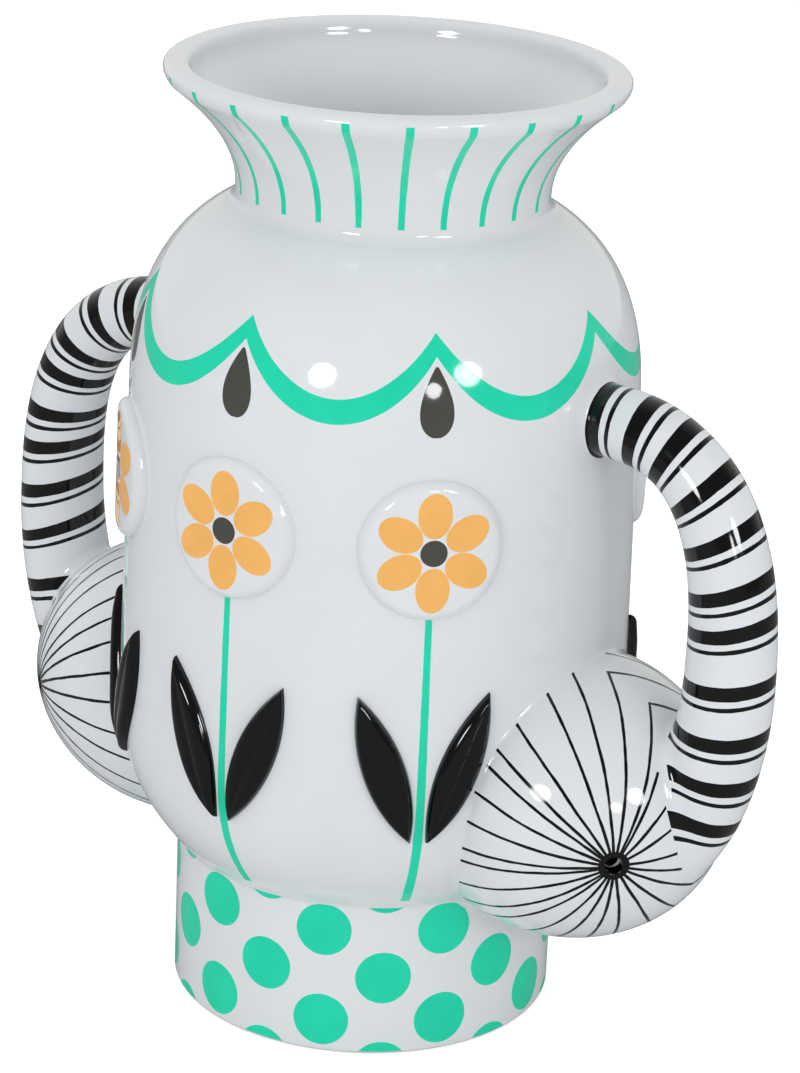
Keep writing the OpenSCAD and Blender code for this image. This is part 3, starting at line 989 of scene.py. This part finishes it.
def bulb(side, material):
    """A hollow dome: a front half with a vent, and its mirror image without one.

    Each column of points runs from the pole, at an angle phi round it, to the body or to the
    seam where y = 0.
    """
    name = "right_bulb" if side > 0 else "left_bulb"
    pole, axis, east, north = bulb_pole()
    facing = bulb_normal(BULB_AT + pole)

    def outward(phi):
        return np.cos(phi)[..., None] * east + np.sin(phi)[..., None] * north

    def at(phi, theta, inset=0.0):
        """Point in the direction phi, theta from the pole, on the dome or inset inside it."""
        d = np.cos(theta)[..., None] * axis + np.sin(theta)[..., None] * outward(phi)
        return BULB_AT + d / np.linalg.norm(d / (BULB_AXES - inset), axis=-1, keepdims=True)

    def limit(phi, test, inset=0.0):
        """First angle from the pole at which a test turns negative, or 2 radians."""
        steps = np.linspace(0.15, 2.0, 400)
        found = np.full(phi.shape, 2.0)
        for theta in steps[::-1]:
            found = np.where(test(at(phi, np.full(phi.shape, theta), inset)) < 0, theta, found)
        step = steps[1] - steps[0]
        return crossing(lambda theta: test(at(phi, theta, inset)) >= 0, found - step, found)

    def clear(p):
        return np.hypot(p[..., 0], p[..., 1]) - body_r(p[..., 2])

    def front(p):
        return -p[..., 1]

    # Columns where the seam meets the body, and in between
    dense = np.linspace(0, 2 * np.pi, 2881)
    gap = limit(dense, front) - limit(dense, clear)
    pairs = zip(dense, dense[1:], gap, gap[1:])
    turns = [a + (b - a) * g / (g - h) for a, b, g, h in pairs if g * h < 0]
    columns = []
    for low, high in zip(turns, turns[1:] + [turns[0] + 2 * np.pi]):
        parts = max(1, math.ceil((high - low) / math.radians(COLUMN_STEP)))
        columns += [low + (high - low) * i / parts for i in range(parts)]
    phi = np.array(columns)
    cols = len(phi)
    is_turn = np.min([np.abs(phi - x) for x in turns], 0) < 1e-9
    seam, joint = limit(phi, front), limit(phi, clear)
    on_seam = (seam < joint) & ~is_turn
    seam_in, joint_in = limit(phi, front, WALL), limit(phi, clear, WALL)
    stop_in = np.where(on_seam, seam_in, joint_in)

    # The fillet, and the edges hidden in the body
    back = np.linalg.norm(at(phi, joint) - at(phi, joint - 0.01), axis=-1) / 0.01
    stop = np.where(on_seam, seam, joint - BULB_FILLET / back)
    meet = on_body(at(phi, joint))
    body_n, bulb_n = body_normal(meet), bulb_normal(meet)
    lean = unit(bulb_n - np.sum(bulb_n * body_n, -1, keepdims=True) * body_n)
    lean[is_turn, 1] = 0
    seat, start, end_in = on_body(meet + BULB_FILLET * lean), at(phi, stop), at(phi, stop_in, WALL)
    seat[is_turn, 1] = start[is_turn, 1] = 0
    fillet = bezier(start, meet, seat, FILLET_ROWS)[:, 1:]
    sunk = seat - SUNK * body_normal(seat)
    deep = on_body(end_in)
    deep = deep - SUNK * body_normal(deep)
    deep[is_turn, 1] = 0
    fillet[on_seam], sunk[on_seam] = start[on_seam][:, None], start[on_seam]
    deep[on_seam] = end_in[on_seam]

    points, faces = [], []

    def add(rows, mirrored, to_body=False):
        """Adds rows of points, and gives their first index. To the body, it leaves out the seam."""
        first = sum(map(len, points))
        points.append((np.array(rows) * (1, -1 if mirrored else 1, 1)).reshape(-1, 3))
        for face in grid_faces(len(rows), cols, first):
            if not (to_body and (on_seam[face[0] % cols] or on_seam[face[1] % cols])):
                faces.append(face)
        return first

    hole = math.asin(VENT_R / np.linalg.norm(pole))
    for mirrored in (False, True):
        begin = POLE_EDGE if mirrored else hole * VENT_EDGE
        begin_in = POLE_EDGE if mirrored else hole * VENT_EDGE_IN
        shares, shares_in = np.linspace(0, 1, OUTER_ROWS) ** 0.85, np.linspace(0, 1, INNER_ROWS)
        outer = [at(phi, begin + (stop - begin) * f) for f in shares]
        inner = [at(phi, begin_in + (stop_in - begin_in) * f, WALL) for f in shares_in]
        for row in (outer[-1], inner[-1]):
            row[on_seam | is_turn, 1] = 0
        first = add(outer, mirrored)
        add([outer[-1], *fillet.transpose(1, 0, 2), sunk, deep], mirrored, to_body=True)
        first_in = add(inner, mirrored)
        add([inner[-1], deep], mirrored, to_body=True)
        if mirrored:
            faces += [cap(first, cols), cap(first_in, cols)]
            continue
        # The vent's rounded edge and its wall
        tip = BULB_AT + pole
        ring = outward(phi)
        ring = tip + VENT_R * unit(ring - (ring @ facing)[:, None] * facing)
        depth, depth_in = ((row - tip) @ facing for row in (outer[0], inner[0]))
        top, lip, wall_end = (ring + d[:, None] * facing for d in (depth, depth - 1.1, depth_in))
        add([*bezier(outer[0], top, lip, 5).transpose(1, 0, 2), wall_end, inner[0]], mirrored)

    cloud = np.concatenate(points)
    cloud[:, 0] *= side
    make(name, cloud, faces, material)


# ---- reliefs

# Width of the soft edge of a boss and of a leaf
BOSS_EDGE, LEAF_EDGE = 5.5, 5.0
# Half width and depth of a leaf's rib
RIB_W, RIB_H = 1.3, 0.9
# Distance of a leaf's lower end from its stem, and from the top of the foot
LEAF_APART, LEAF_UP = 4.0, 46.0


def wrapped(p, q, z0, height, az):
    """Points on the body, lifted by height, at a sideways distance p and a height z0 + q."""
    z = z0 + q
    r = body_r(z) + height
    y = -np.sqrt(r**2 - p**2)
    a = math.radians(az)
    return np.stack([p * math.cos(a) - y * math.sin(a), p * math.sin(a) + y * math.cos(a), z], -1)


def pillow(depth, edge):
    """Height of a soft-edged relief at a distance inside its outline."""
    t = np.clip(depth / edge, 0, 1)
    return RELIEF_H * np.sqrt(1 - (1 - t) ** 2.2)


def boss(name, az, material):
    """A low round pad with a soft edge."""
    sides = 120
    v = 2 * np.pi * np.arange(sides) / sides
    near_edge = [0, 0.15, 0.4, 0.8, 1.3, 1.9, 2.6, 3.4, 4.3, 5.3, 6.5, 8]

    def row(depth, height):
        rho = BOSS_R - depth
        return wrapped(rho * np.sin(v), rho * np.cos(v), BOSS_Z, height, az)

    rows = [row(0, -BASE_SUNK)]
    rows += [row(d, pillow(d, BOSS_EDGE)) for d in (*near_edge, *np.linspace(10, BOSS_R - 0.5, 9))]
    faces = grid_faces(len(rows), sides) + [cap(0, sides), cap((len(rows) - 1) * sides, sides)]
    make(name, np.concatenate(rows), faces, material)


def leaf(name, number, centre_az, material):
    """A raised leaf with a pressed rib. Two stand at each of three stems, the odd ones on the left."""
    stem = (number - 1) // 2 - 1
    side = -1 if number % 2 else 1
    lean = math.radians(LEAF_LEAN)
    sideways = LEAF_APART + LEAF_LEN / 2 * math.sin(lean)
    az = centre_az + stem * SWAG_STEP + side * math.degrees(math.asin(sideways / BODY_R))
    z0 = FOOT_H + LEAF_UP + LEAF_LEN / 2 * math.cos(lean)
    radius = (LEAF_LEN**2 + LEAF_W**2) / (4 * LEAF_W)
    along, across = 64, 24
    q = LEAF_LEN / 2 * np.sin(np.linspace(-np.pi / 2, np.pi / 2, along + 1))
    half = np.maximum(np.sqrt(radius**2 - q**2) - (radius - LEAF_W / 2), 0)[:, None]
    p = half * np.sin(np.linspace(-np.pi / 2, np.pi / 2, across + 1))
    q = np.broadcast_to(q[:, None], p.shape)
    depth = half - np.abs(p)
    rib = np.exp(-((p / RIB_W) ** 2)) * np.clip(half / 5, 0, 1)
    height = pillow(depth, LEAF_EDGE) - RIB_H * rib * np.clip(depth / 3, 0, 1)
    turn = -side * lean
    x, up = p * math.cos(turn) - q * math.sin(turn), p * math.sin(turn) + q * math.cos(turn)
    # Each row runs over the top of the leaf and back under it
    top, base = (wrapped(x, up, z0, h, az) for h in (height, -BASE_SUNK))
    rows = np.concatenate([top, base[:, ::-1]], 1)
    make(name, rows.reshape(-1, 3), grid_faces(*rows.shape[:2]), material)


# ---- floor and light

# The camera sees a plain white floor and room, and the glaze mirrors a dim, slightly warm pair
FLOOR_HALF, FLOOR_CELLS = 9.0, 60
FLOOR_TONES = ((0.91, 0.91, 0.91, 1), (0.93, 0.93, 0.93, 1))
FLOOR_GLOW, MIRRORED_GLOW = 0.5, 0.04
MIRRORED_FLOOR = (0.26, 0.255, 0.25, 1)
ROOM_TINT, MIRRORED_TINT = (0.98, 0.988, 1.0, 1), (1.0, 0.975, 0.93, 1)


def add_floor():
    """A wide matt floor."""
    count = FLOOR_CELLS + 1
    axis = np.linspace(-FLOOR_HALF, FLOOR_HALF, count)
    grid = np.stack([*np.meshgrid(axis, axis, indexing="ij"), np.zeros((count, count))], -1)
    mesh = bpy.data.meshes.new("floor")
    mesh.from_pydata(grid.reshape(-1, 3).tolist(), [], grid_faces(count, count, closed=False))
    material = bpy.data.materials.new("floor")
    mesh.materials.append(material)
    n = Nodes(material)
    seen, mirrored = n.rays()
    tone = n.mix(mirrored, n.mix(n.spread(n.noise(3, 3)), *FLOOR_TONES), MIRRORED_FLOOR)
    matt = {"Base Color": tone, "Roughness": 0.9, "Specular IOR Level": 0.1}
    shader = n.new("ShaderNodeBsdfPrincipled", matt)
    strength = n.high(n.mul(seen, FLOOR_GLOW), n.mul(mirrored, MIRRORED_GLOW))
    glow = n.new("ShaderNodeEmission", {"Strength": strength})
    both = n.new("ShaderNodeAddShader", {0: shader.outputs[0], 1: glow.outputs[0]})
    n.new("ShaderNodeOutputMaterial", {"Surface": both.outputs[0]})
    floor = bring_in("floor", mesh)


def add_world():
    """A pale tent of light round the vase."""
    scene.world = bpy.data.worlds.new("studio")
    n = Nodes(scene.world)
    seen, mirrored = n.rays()
    facing = n.new("ShaderNodeTexCoord").outputs["Generated"]
    # The light is a little stronger from the left and from above
    sideways, upward = n.dot(facing, direction(-15, 0)), n.dot(facing, (0, 0, 1))
    lit = n.add(n.add(n.mul(sideways, 0.15), n.mul(upward, 0.02)), 0.855)
    # The mirrored room is dim towards the camera
    room = n.ramp(n.dot(facing, direction(CAMERA_AZ, 0)), -0.9, 0.1, 0.8, 0.16)
    colour = n.mix(seen, n.mix(mirrored, ROOM_TINT, MIRRORED_TINT), (1, 1, 1, 1))
    strength = n.blend(seen, n.blend(mirrored, lit, room), 1.0)
    back = n.new("ShaderNodeBackground", {"Color": colour, "Strength": strength})
    n.new("ShaderNodeOutputWorld", {"Surface": back.outputs[0]})


# ---- the whole vase

add_camera()
add_world()
add_floor()
for word, (az, el, size, power) in LAMPS.items():
    add_lamp(f"lamp_{word}", az, el, LAMP_DISTANCE, size, power * (1 - GLINT_SHARE))
    add_lamp(f"glint_{word}", az, el, GLINT_DISTANCE, size, power * GLINT_SHARE, glossy_only=True)

foot_and_body()
collar()
striped = glaze("striped_glaze", ring_paint)
handle(1, RIGHT_RINGS, striped)
handle(-1, LEFT_RINGS, striped)
bulb(1, glaze("radiating_glaze_right", lambda n: star_paint(n, 1, RIGHT_LINES)))
bulb(-1, glaze("radiating_glaze_left", lambda n: star_paint(n, -1, LEFT_LINES)))
flower = glaze("flower_glaze", flower_paint)
for row, base in (("front", 0), ("rear", 180)):
    for word, step in (("left", -45), ("centre", 0), ("right", 45)):
        boss(f"{row}_boss_{word}", base + step, flower)
black = glaze("black_glaze", lambda n: [(1.0, BLACK)])
for row, base in (("front", 0), ("rear", 180)):
    for number in range(1, 7):
        leaf(f"{row}_leaf_{number}", number, base, black)

scene.view_settings.view_transform = "Standard"
